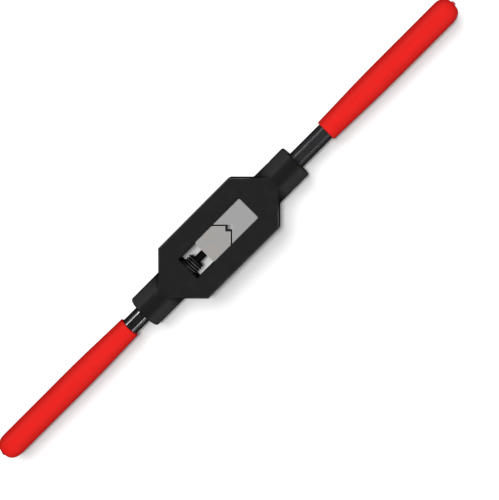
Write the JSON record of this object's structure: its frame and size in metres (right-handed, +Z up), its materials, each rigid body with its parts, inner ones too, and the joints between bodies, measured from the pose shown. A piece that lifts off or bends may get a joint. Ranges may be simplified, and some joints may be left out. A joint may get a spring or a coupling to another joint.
{
  "type": "tap wrench",
  "caption": "Bar-type adjustable tap wrench: tapered steel frame with a jaw window, screw-driven sliding jaw, and two long round handles with dipped red grips.",
  "frame": {"origin": "middle of the frame's underside, below the handles' axis and the window's centre", "axes": "+X along the handles towards the fixed handle, +Y across the frame, +Z up out of the face that the tap's shank enters"},
  "size_m": [0.28, 0.0308, 0.0164],
  "materials": {
    "frame_black": "satin black",
    "jaw_steel": "satin, fine sintered grain",
    "slide_steel": "satin, fine sintered grain",
    "spindle_steel": "ground and polished, oiled thread",
    "handle_black": "black oxide",
    "grip_red": "dipped vinyl, soft gloss",
    "pin_steel": "spring steel"
  },
  "bodies": {
    "frame": {"body": "frame_black", "fixed_jaw": "jaw_steel", "fixed_handle": "handle_black", "fixed_grip": "grip_red", "handle_pin": "pin_steel"},
    "jaw": {"moving_jaw": "slide_steel"},
    "spindle": {"spindle": "spindle_steel", "spindle_grip": "grip_red"}
  },
  "joints": [
    {"name": "jaw_slide", "type": "slide", "parent": "frame", "child": "jaw", "axis": [1, 0, 0], "range_m": [-0.00975, 0.001]},
    {"name": "spindle_turn", "type": "hinge", "parent": "jaw", "child": "spindle", "pos_m": [0, 0, 0.0082], "axis": [1, 0, 0], "range_deg": [-2809, 289]}
  ],
  "couplings": [
    {"joint": "spindle_turn", "follows": "jaw_slide", "rad_per_m": 5026.5}
  ]
}
